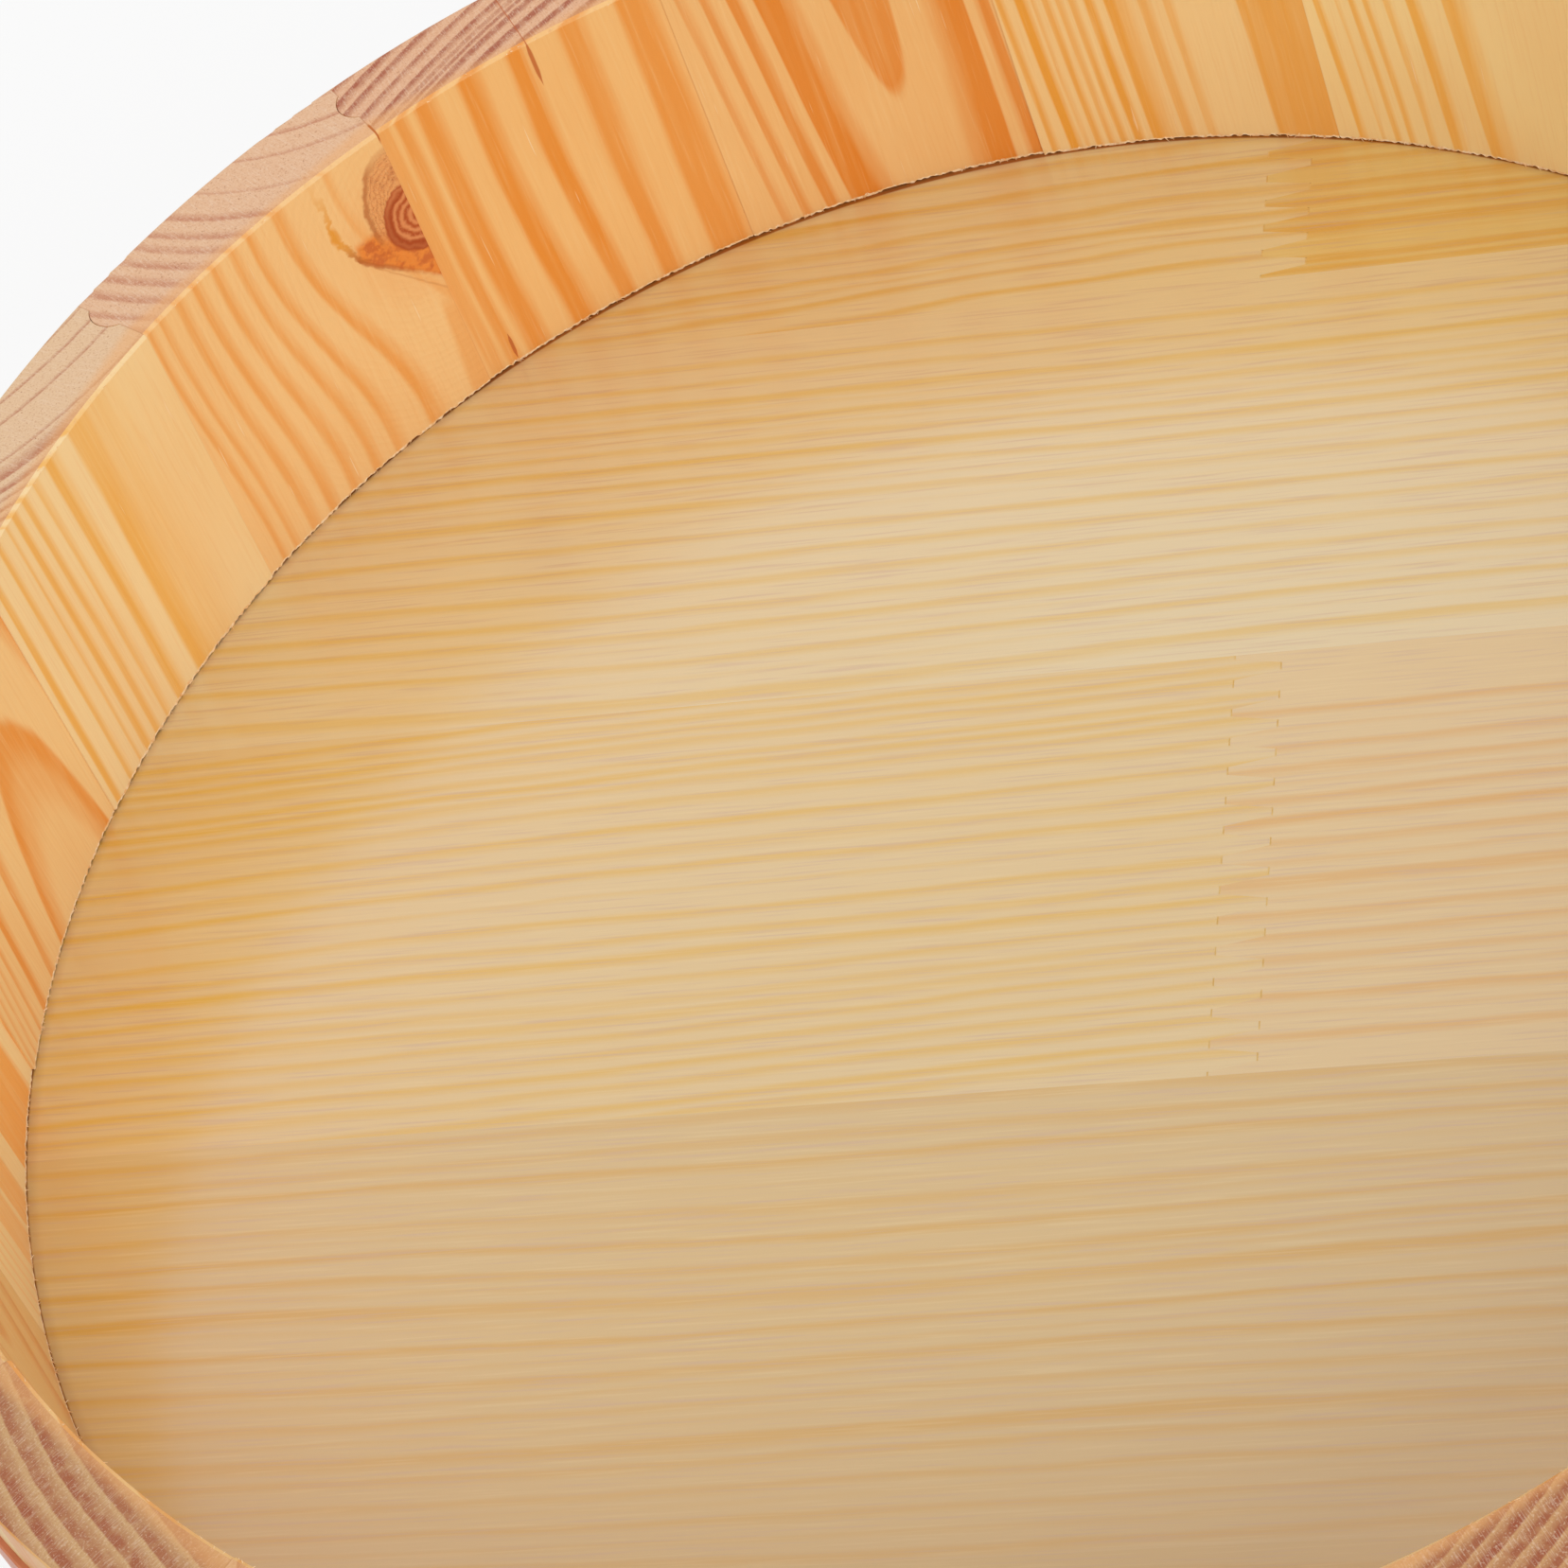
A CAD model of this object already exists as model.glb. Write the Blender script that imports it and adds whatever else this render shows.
"""Looks of a hangiri, the wooden tub for sushi rice: pine staves, a jointed floor and copper hoops.

Lengths in the grain tables are millimetres, and so is every pattern. Angles are degrees. A stave's
own axes are deep, outward from the bore at its middle, across, towards higher azimuth, and along,
up from the floor.
"""

import logging
import math
import random
from dataclasses import dataclass
from enum import Enum
from itertools import pairwise

import bmesh
import bpy
from mathutils import Matrix, Vector, noise


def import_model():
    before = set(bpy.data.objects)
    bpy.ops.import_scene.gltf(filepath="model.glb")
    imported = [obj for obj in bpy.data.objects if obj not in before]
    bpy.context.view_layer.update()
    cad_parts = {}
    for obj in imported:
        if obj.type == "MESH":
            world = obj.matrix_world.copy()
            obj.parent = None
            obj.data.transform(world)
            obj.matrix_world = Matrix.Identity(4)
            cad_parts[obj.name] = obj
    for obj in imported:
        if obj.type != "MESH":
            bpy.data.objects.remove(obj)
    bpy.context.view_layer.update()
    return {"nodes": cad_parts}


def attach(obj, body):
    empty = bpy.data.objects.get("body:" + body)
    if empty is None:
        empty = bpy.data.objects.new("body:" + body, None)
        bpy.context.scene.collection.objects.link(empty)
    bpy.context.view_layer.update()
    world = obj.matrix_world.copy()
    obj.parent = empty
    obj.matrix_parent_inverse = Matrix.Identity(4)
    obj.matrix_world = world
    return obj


logging.basicConfig(level=logging.INFO, format="%(message)s")
LOG = logging.getLogger("hangiri")

MM = 0.001
MM_PER_METRE = 1000.0
BORE = 150.7
FLOOR_TOP = 26.0
RIM = 82.0
WALL_FOOT = 26.4
STAVES = 20
STAVE_ANGLE = 18.0
FIRST_MIDDLE = 13.3
BEAD_MIDDLE = 159.2
BEAD_RADIUS = 3.9
BEAD_RISE = 1.6
HOOP_FACE = 166.0

# How far the dried staves have moved in or out, and how many degrees the wave of it turns for each.
DRYING_STEP = 0.3
DRYING_TURN = 77

# The height above the floor where a ring's offset is taken, and how the knot pushes rings aside.
MID_HEIGHT = 30.0
KNOT_PUSH = 5.0
KNOT_RISE = (4.0, 52.0)
KNOT_NEAR = (26.0, -10.0)

# Floor lines further apart than this share of the bore get a faint one between them.
WIDE_GAP = 0.0305

RAMP_STOPS = 32
NODE_COLUMNS = 14
COLUMN_WIDTH = 190
ROW_HEIGHT = 160

Socket = bpy.types.NodeSocket
Node = bpy.types.Node
NodeTree = bpy.types.NodeTree
Material = bpy.types.Material
Piece = bpy.types.Object
Shape = bmesh.types.BMesh
Triple = tuple[float, float, float]
Colour = tuple[int, int, int]


def linear(red: int, green: int, blue: int) -> tuple[float, float, float, float]:
    """Turns a colour as it is seen on a screen into the values that a shader takes.

    Args:
        red: Red from 0 to 255.
        green: Green from 0 to 255.
        blue: Blue from 0 to 255.

    Returns:
        The linear colour with an alpha of 1.
    """

    def channel(value: int) -> float:
        """Returns one channel by the screen standard's curve."""
        share = value / 255
        return share / 12.92 if share <= 0.04045 else ((share + 0.055) / 1.055) ** 2.4

    return (channel(red), channel(green), channel(blue), 1.0)


def smooth(value: float, low: float, high: float) -> float:
    """Returns the smooth step from low to high, as a Map Range node works it out."""
    share = min(max((value - low) / (high - low), 0.0), 1.0)
    return share * share * (3.0 - 2.0 * share)


def stave_middle(number: int) -> float:
    """Returns the azimuth of a stave's middle."""
    return FIRST_MIDDLE + STAVE_ANGLE * (number - 1)


def around(radius: float, angle: float, height: float) -> Vector:
    """Returns the point at that radius, angle in radians and height."""
    return Vector((radius * math.cos(angle), radius * math.sin(angle), height))


class Side(Enum):
    """Where a board's pith lies, for staves that the photograph doesn't show."""

    QUARTER = "quarter"
    RIFT = "rift"
    PLAIN = "plain"


@dataclass(frozen=True)
class Ring:
    """One dark line of late wood, where a ring ends.

    Attributes:
        offset: Degrees from the stave's middle where it meets the bore, at mid height.
        strength: How dark it is, from 0 to 1.
        soft: Width of the slow rise on the pith's side.
        hard: Width of the quick fall on the bark's side.
        flat: Width between the rise and the fall.
        deep: Depth from the bore of the point at the rim that offset is for, if not 0.
    """

    offset: float
    strength: float = 0.7
    soft: float = 1.6
    hard: float = 0.3
    flat: float = 0.0
    deep: float = 0.0


def rings(*rows: tuple[float, ...]) -> tuple[Ring, ...]:
    """Returns rings from rows of their attributes, in order."""
    return tuple(Ring(*row) for row in rows)


@dataclass(frozen=True, order=True)
class Mark:
    """A ring as it stands on a colour ramp: its place, strength and widths."""

    at: float
    strength: float
    soft: float
    hard: float
    flat: float = 0.0

    def stops(self, last: float) -> list[tuple[float, float]]:
        """Returns the stops that draw it.

        Args:
            last: Where the mark before it ends.

        Returns:
            Places and levels, in order.
        """
        top = max(self.at - self.flat, last)
        begin = max(top - self.soft, last)
        halfway = (begin + 0.55 * (top - begin), 0.5 * self.strength)
        level = [(self.at, self.strength)] if self.flat else []
        return [(begin, 0.0), halfway, (top, self.strength), *level, (self.at + self.hard, 0.0)]


@dataclass(frozen=True)
class Streak:
    """A thin streak of dark resin along a stave.

    Attributes:
        across: Its place from the stave's middle.
        low: Its lower end above the floor.
        high: Its upper end.
        wide: Half its width.
    """

    across: float
    low: float
    high: float
    wide: float = 0.4


@dataclass(frozen=True)
class Pith:
    """The tree's middle line, in a stave's own axes, and how it leans along the stave."""

    across: float
    deep: float
    lean_across: float = 0.0
    lean_deep: float = 0.0


@dataclass(frozen=True)
class WoodTone:
    """Colours of one stave: its pale and late wood on the faces and on the end grain."""

    pale: Colour = (250, 208, 142)
    late: Colour = (237, 157, 66)
    end_pale: Colour = (233, 193, 160)
    end_late: Colour = (196, 128, 100)


@dataclass(frozen=True)
class StaveGrain:
    """All that makes one stave's grain its own.

    Attributes:
        pith: Where the tree's middle lies.
        rings: Its rings, in any order.
        tone: Its colours.
        wobble: How much its rings wander.
        knot: Whether it holds half of the knot.
        slit: The side of its open joint, -1 or 1, or 0 for none.
        streaks: Its streaks of resin.
    """

    pith: Pith
    rings: tuple[Ring, ...]
    tone: WoodTone = WoodTone()
    wobble: float = 0.5
    knot: bool = False
    slit: float = 0.0
    streaks: tuple[Streak, ...] = ()


class Tree:
    """Writes shader nodes into one node tree, from left to right.

    Args:
        tree: The node tree of a material, world or group.
    """

    def __init__(self, tree: NodeTree) -> None:
        self.tree = tree

    def add(self, kind: str, **settings: object) -> Node:
        """Adds a node and sets its properties.

        Args:
            kind: The node's type name after ShaderNode.
            **settings: Properties of the node.

        Returns:
            The new node.
        """
        node = self.tree.nodes.new("ShaderNode" + kind)
        row, column = divmod(len(self.tree.nodes), NODE_COLUMNS)
        node.location = (COLUMN_WIDTH * column, -ROW_HEIGHT * row)
        for name, value in settings.items():
            setattr(node, name, value)
        return node

    def feed(self, socket: Socket, value: object) -> None:
        """Links a socket to another, or sets its own value.

        Args:
            socket: The socket.
            value: Another socket, a plain value, a colour as it is seen on a screen, or None.
        """
        if isinstance(value, bpy.types.NodeSocket):
            self.tree.links.new(value, socket)
        elif value is not None:
            seen = socket.type == "RGBA" and len(value) == 3
            socket.default_value = linear(*value) if seen else value

    def fill(self, node: Node, *values: object) -> Socket:
        """Feeds a node's inputs in order.

        Args:
            node: The node.
            *values: What its first inputs get.

        Returns:
            Its first output.
        """
        for socket, value in zip(node.inputs, values):
            self.feed(socket, value)
        return node.outputs[0]

    def wire(self, node: Node, **values: object) -> Node:
        """Feeds a node's inputs by name.

        Args:
            node: The node.
            **values: What the inputs get. A name has _ for each space.

        Returns:
            The node.
        """
        for name, value in values.items():
            self.feed(node.inputs[name.replace("_", " ")], value)
        return node

    def group(self, tree: NodeTree, **values: object) -> Node:
        """Places a node group with its own values."""
        return self.wire(self.add("Group", node_tree=tree), **values)

    def math(self, kind: str, *values: object, clamp: bool = False) -> Socket:
        """Returns the result of a Math node of that operation."""
        return self.fill(self.add("Math", operation=kind, use_clamp=clamp), *values)

    def plus(self, first: object, second: object) -> Socket:
        """Adds two values."""
        return self.math("ADD", first, second)

    def less(self, first: object, second: object) -> Socket:
        """Takes the second value from the first."""
        return self.math("SUBTRACT", first, second)

    def times(self, first: object, *others: object) -> Socket:
        """Multiplies two or more values, from left to right.

        Args:
            first: The first value.
            *others: The others.

        Returns:
            Their product.
        """
        for other in others:
            first = self.math("MULTIPLY", first, other)
        return first

    def scaled(self, value: object, factor: object, shift: object) -> Socket:
        """Multiplies a value by a factor and then adds a shift."""
        return self.math("MULTIPLY_ADD", value, factor, shift)

    def size(self, value: Socket) -> Socket:
        """Drops a value's sign."""
        return self.math("ABSOLUTE", value)

    def slant(self, side: Socket, down: Socket) -> Socket:
        """Returns the long side over two square ones."""
        return self.math("SQRT", self.plus(self.times(side, side), self.times(down, down)))

    def step(self, value: object, low: object, high: object, start: float = 0.0, end: float = 1.0) -> Socket:
        """Rises smoothly from start to end while value goes from low to high."""
        node = self.add("MapRange", interpolation_type="SMOOTHSTEP", clamp=True)
        return self.fill(node, value, low, high, start, end)

    def parts(self, vector: Socket) -> tuple[Socket, Socket, Socket]:
        """Returns a vector's three values."""
        node = self.wire(self.add("SeparateXYZ"), Vector=vector)
        return node.outputs[0], node.outputs[1], node.outputs[2]

    def place(self) -> Socket:
        """Returns the place in the row frame, in metres."""
        return self.add("TexCoord").outputs["Object"]

    def millimetres(self, turn: float = 0.0) -> Socket:
        """Returns the place in the row frame in millimetres.

        Args:
            turn: Azimuth in degrees that is turned onto the X axis.

        Returns:
            The place.
        """
        turned = (0.0, 0.0, -math.radians(turn))
        node = self.add("Mapping")
        return self.wire(node, Vector=self.place(), Rotation=turned, Scale=(MM_PER_METRE,) * 3).outputs[0]

    def noise(self, place: Socket, scale: Triple, shift: object = (0.0, 0.0, 0.0), detail: float = 0.0,
              rough: float = 0.5) -> Socket:
        """Adds a noise texture, stretched and shifted.

        Args:
            place: The place that it follows.
            scale: How many waves it has in each unit of each axis, about.
            shift: Shift after the stretch.
            detail: How many finer waves lie on it.
            rough: How strong they are.

        Returns:
            Its value, about 0.5 on average.
        """
        stretched = self.fill(self.add("VectorMath", operation="MULTIPLY_ADD"), place, scale, shift)
        node = self.wire(self.add("TexNoise"), Vector=stretched, Scale=1.0, Detail=detail, Roughness=rough)
        return node.outputs["Fac"]

    def mix(self, factor: object, first: object, second: object) -> Socket:
        """Mixes two colours.

        Args:
            factor: The second colour's share.
            first: The first colour.
            second: The second colour.

        Returns:
            The mixed colour.
        """
        node = self.add("Mix", data_type="RGBA", clamp_factor=True)
        for index, value in ((0, factor), (6, first), (7, second)):
            self.feed(node.inputs[index], value)
        return node.outputs[2]

    def tint(self, colour: object, shade: Colour, value: Socket, low: float, high: float,
             most: float) -> Socket:
        """Mixes a shade into a colour, up to a most share, while value goes from low to high."""
        return self.mix(self.step(value, low, high, 0.0, most), colour, shade)

    def ramp(self, value: Socket, stops: list[tuple[float, float]]) -> Socket:
        """Adds a grey colour ramp.

        Args:
            value: The value that runs along it.
            stops: Its stops, each a place and a level.

        Returns:
            The level.
        """
        node = self.add("ValToRGB")
        node.color_ramp.interpolation = "EASE"
        elements = node.color_ramp.elements
        while len(elements) < len(stops):
            elements.new(1.0)
        for element, (place, level) in zip(elements, stops):
            element.position = place
            element.color = (level, level, level, 1.0)
        return self.fill(node, value)

    def bump(self, height: Socket, strength: float = 1.0) -> Socket:
        """Turns a height in millimetres into a normal."""
        return self.wire(self.add("Bump"), Strength=strength, Distance=MM, Height=height).outputs[0]


class GroupSheet(Tree):
    """A new shader node group with named sockets.

    Args:
        name: The group's name.
        inputs: Each input's name, with its kind: Float, Vector or Color.
        outputs: The same for the outputs.
    """

    def __init__(self, name: str, inputs: dict[str, str], outputs: dict[str, str]) -> None:
        super().__init__(bpy.data.node_groups.new(name, "ShaderNodeTree"))
        for in_out, sockets in (("INPUT", inputs), ("OUTPUT", outputs)):
            for label, kind in sockets.items():
                self.tree.interface.new_socket(label, in_out=in_out, socket_type="NodeSocket" + kind)
        self.start = self.tree.nodes.new("NodeGroupInput")
        self.end = self.tree.nodes.new("NodeGroupOutput")

    def given(self, name: str) -> Socket:
        """Returns the socket inside the group that carries an input."""
        return self.start.outputs[name]

    def give(self, **values: Socket) -> NodeTree:
        """Links values to the group's outputs by name, and returns the group."""
        self.wire(self.end, **values)
        return self.tree


class WoodEffects:
    """The node groups that the staves and the floor share."""

    def __init__(self) -> None:
        self.rings = self.build_rings()
        self.face = self.build_face()
        self.end = self.build_end()
        self.seam = self.build_seam()

    def build_rings(self) -> NodeTree:
        """Builds the distance from the pith, with the wander that real rings have.

        Returns:
            The node group.
        """
        numbers = ("Pith Across", "Pith Deep", "Lean Across", "Lean Deep", "Wobble")
        inputs = {"Place": "Vector", **dict.fromkeys(numbers, "Float"), "Seed": "Vector"}
        sheet = GroupSheet("Growth rings", inputs, {"Distance": "Float"})
        place, seed = sheet.given("Place"), sheet.given("Seed")
        deep, across, along = sheet.parts(place)
        run = sheet.times(along, sheet.given("Lean Across"))
        fall = sheet.times(along, sheet.given("Lean Deep"))
        side = sheet.less(sheet.less(across, sheet.given("Pith Across")), run)
        down = sheet.less(sheet.less(deep, sheet.given("Pith Deep")), fall)
        wide = sheet.noise(place, (0.045, 0.045, 0.02), seed)
        fine = sheet.noise(place, (0.5, 0.5, 0.045), seed)
        wander = sheet.plus(sheet.scaled(wide, 4.0, -2.0), sheet.scaled(fine, 0.7, -0.35))
        return sheet.give(Distance=sheet.scaled(wander, sheet.given("Wobble"), sheet.slant(side, down)))

    def pine_sheet(self, name: str, **outputs: str) -> GroupSheet:
        """Starts a group that paints pine from its rings and its two colours."""
        inputs = {"Place": "Vector", "Rings": "Float", "Pale": "Color", "Late": "Color", "Seed": "Vector"}
        return GroupSheet(name, inputs, outputs)

    def build_face(self) -> NodeTree:
        """Builds pine as it is cut along the grain: late wood, fibres and gentle blotches.

        Returns:
            The node group.
        """
        sheet = self.pine_sheet("Pine along the grain", Color="Color", Roughness="Float", Height="Float")
        place, seed = sheet.given("Place"), sheet.given("Seed")
        fibres = sheet.noise(place, (2.2, 2.2, 0.07), seed, 1.0, 0.6)
        blotch = sheet.noise(place, (0.07, 0.07, 0.03), seed)
        broken = sheet.noise(place, (0.9, 0.9, 0.035), seed)
        uneven = sheet.step(broken, 0.2, 0.62, 0.84, 1.04)
        late = sheet.math("MULTIPLY", sheet.given("Rings"), uneven, clamp=True)
        colour = sheet.mix(late, sheet.given("Pale"), sheet.given("Late"))
        colour = sheet.tint(colour, (240, 176, 100), blotch, 0.3, 0.72, 0.16)
        colour = sheet.tint(colour, (232, 156, 78), fibres, 0.5, 0.75, 0.11)
        colour = sheet.tint(colour, (254, 224, 170), fibres, 0.45, 0.25, 0.14)
        colour = sheet.tint(colour, (255, 230, 188), fibres, 0.74, 0.8, 0.6)
        rough = sheet.scaled(late, -0.1, sheet.scaled(fibres, 0.12, 0.42))
        return sheet.give(Color=colour, Roughness=rough, Height=sheet.times(fibres, 0.035))

    def build_end(self) -> NodeTree:
        """Builds pine as it is cut across the grain: pores, rays and the marks that sanding leaves.

        Returns:
            The node group.
        """
        sheet = self.pine_sheet("Pine end grain", Color="Color", Height="Float")
        place, seed = sheet.given("Place"), sheet.given("Seed")
        mottle = sheet.noise(place, (0.5, 0.5, 0.5), seed, 1.0, 0.65)
        grit = sheet.noise(place, (3.2, 3.2, 3.2), seed, 1.0, 0.7)
        scratch = sheet.noise(place, (0.5, 6.0, 0.5), seed)
        uneven = sheet.step(mottle, 0.22, 0.6, 0.6, 1.05)
        late = sheet.math("MULTIPLY", sheet.given("Rings"), uneven, clamp=True)
        colour = sheet.mix(late, sheet.given("Pale"), sheet.given("Late"))
        colour = sheet.tint(colour, (186, 118, 80), grit, 0.54, 0.72, 0.36)
        colour = sheet.tint(colour, (252, 222, 190), grit, 0.44, 0.27, 0.36)
        colour = sheet.tint(colour, (250, 222, 196), scratch, 0.55, 0.75, 0.25)
        dots = sheet.times(sheet.step(grit, 0.7, 0.78), sheet.step(mottle, 0.44, 0.56), 0.7)
        colour = sheet.mix(dots, colour, (146, 88, 62))
        return sheet.give(Color=colour, Height=sheet.times(grit, -0.06))

    def build_seam(self) -> NodeTree:
        """Builds the distance to the nearer joint of a stave, which follows the bead between two staves.

        Returns:
            The node group.
        """
        sheet = GroupSheet("Joint line", {"Turned": "Vector"}, {"Distance": "Float"})
        across, side, _ = sheet.parts(sheet.given("Turned"))
        lines = []
        for angle in (-STAVE_ANGLE / 2, STAVE_ANGLE / 2):
            cosine, sine = math.cos(math.radians(angle)), math.sin(math.radians(angle))
            out = sheet.scaled(side, sine, sheet.times(across, cosine))
            off = sheet.scaled(across, -sine, sheet.times(side, cosine))
            reach = sheet.less(out, BEAD_MIDDLE)
            left = sheet.less(BEAD_RADIUS**2, sheet.times(reach, reach))
            arc = sheet.less(sheet.math("SQRT", sheet.math("MAXIMUM", left, 0.0)), BEAD_RADIUS - BEAD_RISE)
            lines.append(sheet.size(sheet.less(off, sheet.math("MAXIMUM", arc, 0.0))))
        return sheet.give(Distance=sheet.math("MINIMUM", *lines))


# Grain written by hand for the staves in the photograph and for two others, 13 and 17.
VISIBLE = {
    13: StaveGrain(
        Pith(30.0, -150.0),
        rings(*((0.0, strength, 2.0, 0.3, 0.9, deep) for strength, deep in (
            (0.7, -1.4), (0.8, 2.0), (0.9, 5.4), (0.8, 8.6), (0.95, 12.2), (0.85, 15.6), (0.9, 19.0),
        ))),
        WoodTone(end_pale=(212, 168, 118), end_late=(166, 92, 58)),
        0.4,
    ),
    17: StaveGrain(
        Pith(-55.0, -120.0),
        rings(*((0.0, strength, 1.5, 0.3, 0.6, deep) for strength, deep in (
            (0.8, -2.4), (0.85, 0.2), (0.95, 2.7), (0.85, 5.2), (0.95, 7.9), (0.9, 10.4), (0.95, 13.0),
            (0.9, 15.8), (0.8, 18.4), (0.8, 21.0), (0.8, 23.6),
        ))),
        WoodTone(end_pale=(208, 158, 108), end_late=(160, 84, 52)),
        0.4,
    ),
    9: StaveGrain(
        Pith(-33.0, 80.0),
        rings(
            (8.6, 0.9, 0.6, 0.25, 0.5), (6.95, 0.8, 0.7, 0.25, 0.2), (5.65, 0.7, 0.5, 0.25),
            (4.85, 0.85, 0.6, 0.25, 0.4), (3.65, 0.8, 0.6, 0.25, 0.3), (2.3, 0.7, 0.8, 0.25),
            (0.9, 0.9, 0.9, 0.25, 0.4), (-1.45, 0.88, 2.6, 0.25, 0.3), (-8.9, 0.7, 0.6, 0.25, 0.0, 0.4),
            (-8.9, 0.8, 0.6, 0.25, 0.0, 6.8), (-8.9, 0.8, 0.6, 0.25, 0.0, 10.3),
            (-8.9, 0.6, 0.5, 0.25, 0.0, 13.6),
        ),
        WoodTone((250, 222, 168), (244, 183, 84), (236, 198, 158), (190, 120, 88)),
        0.25,
    ),
    8: StaveGrain(
        Pith(-40.0, 41.0),
        rings(
            (8.35, 0.66, 1.2, 0.6, 0.2), (7.3, 0.62, 1.1, 0.6, 0.2), (5.8, 0.66, 1.4, 0.7, 0.4),
            (4.3, 0.7, 1.5, 0.7, 0.4), (2.7, 0.66, 1.5, 0.7, 0.3), (1.1, 0.64, 1.4, 0.7, 0.2),
            (-0.4, 0.7, 1.3, 0.6, 0.2), (-2.6, 0.76, 1.4, 0.5, 0.3), (-4.8, 0.5, 0.7, 0.3, 0.0, 0.5),
            (-8.0, 0.65, 0.8, 0.3, 0.0, 4.0), (-7.5, 0.8, 0.9, 0.3, 0.0, 9.2),
            (-8.0, 0.6, 0.8, 0.3, 0.0, 14.0),
        ),
        WoodTone((249, 206, 144), (240, 157, 62), (236, 190, 152), (198, 126, 94)),
        0.3,
        knot=True,
        slit=-1.0,
    ),
    7: StaveGrain(
        Pith(-51.4, -132.7, 0.02),
        rings(
            (-6.35, 0.8, 0.7, 0.45, 1.6), (-2.9, 0.82, 0.8, 0.45, 0.7), (0.3, 0.95, 0.6, 0.4, 0.6),
            (3.45, 0.95, 0.8, 0.45, 0.7), (6.35, 0.85, 0.7, 0.4, 0.7), (7.7, 0.75, 0.35, 0.3, 0.4),
            (9.0, 0.5, 0.4, 0.25, 0.6), (8.8, 0.9, 1.2, 0.3, 0.3, 2.4), (8.8, 0.8, 1.1, 0.3, 0.3, 5.3),
            (8.9, 0.9, 1.2, 0.3, 0.4, 8.4), (8.3, 1.0, 1.3, 0.3, 0.4, 11.6),
            (8.6, 0.9, 1.1, 0.3, 0.3, 13.9),
        ),
        WoodTone((248, 199, 131), (238, 151, 56), (234, 182, 144), (174, 96, 68)),
        0.3,
        slit=1.0,
        streaks=(Streak(-2.6, 46.5, 57.0), Streak(18.1, 0.4, 6.6, 0.35)),
    ),
    6: StaveGrain(
        Pith(-5.9, -9.35, 0.041, 0.07),
        rings(
            (-0.71, 0.85, 0.3, 0.25, 3.4), (3.68, 1.0, 2.8, 0.35, 2.8), (5.12, 0.85, 1.1, 0.35, 1.0),
            (6.55, 0.66, 1.0, 0.35, 0.6), (7.8, 0.5, 1.2, 0.35, 0.4),
        ),
        WoodTone((246, 198, 133), (232, 138, 42)),
        0.25,
    ),
    5: StaveGrain(
        Pith(-70.0, -40.0, 0.03),
        rings(
            (8.7, 0.8, 0.8, 0.3, 0.4), (7.6, 1.0, 0.9, 0.3, 0.8), (6.7, 0.5, 0.7),
            (6.05, 0.8, 0.7, 0.3, 0.4), (5.3, 0.65, 0.7, 0.3, 0.3), (4.6, 0.75, 0.7, 0.3, 0.4),
            (3.75, 0.9, 0.8, 0.3, 0.7), (2.65, 0.9, 3.2, 0.3, 0.7), (0.7, 0.6, 1.0, 0.3, 0.9),
            (-0.8, 0.5, 0.9, 0.3, 0.7), (-5.25, 0.78, 0.4, 0.35, 9.5),
        ),
        WoodTone((249, 214, 153), (241, 167, 55)),
        0.25,
    ),
    4: StaveGrain(
        Pith(-70.0, -30.0, 0.06),
        rings(
            (8.3, 0.85, 0.9, 0.3, 0.5), (6.92, 0.5, 0.7), (6.07, 0.78, 0.7, 0.3, 0.4),
            (5.18, 0.72, 0.8, 0.3, 0.4), (3.9, 0.58, 0.9, 0.3, 0.5), (2.46, 0.85, 1.6, 0.35, 0.9),
            (0.1, 0.82, 4.0, 0.35, 1.0),
        ),
        WoodTone((253, 226, 164), (248, 183, 72)),
        0.25,
    ),
    10: StaveGrain(
        Pith(-9.1, -16.2, -0.03, -0.093),
        rings(
            (-2.7, 0.9, 1.9, 0.35, 0.2), (1.1, 0.75, 1.2, 0.3, 0.4), (3.85, 0.95, 1.2, 0.3, 0.6),
            (5.3, 0.7, 0.8, 0.3, 0.2), (6.2, 0.5, 0.7), (6.95, 0.5, 0.7), (7.7, 0.5, 0.7),
            (8.4, 0.5, 0.8),
        ),
        WoodTone((250, 211, 149), (239, 152, 56)),
        0.3,
    ),
    11: StaveGrain(
        Pith(-80.0, -30.0, 0.02),
        rings(
            (8.2, 0.5, 0.7), (7.3, 0.45, 0.7), (6.4, 0.55, 0.7), (5.5, 0.5, 0.6),
            (4.6, 0.55, 0.8, 0.4, 5.0), (1.9, 0.7, 0.8, 0.4, 5.0), (-2.1, 0.9, 1.5, 0.4, 13.0),
        ),
        WoodTone((255, 226, 168), (252, 174, 78)),
        0.3,
    ),
}


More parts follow.
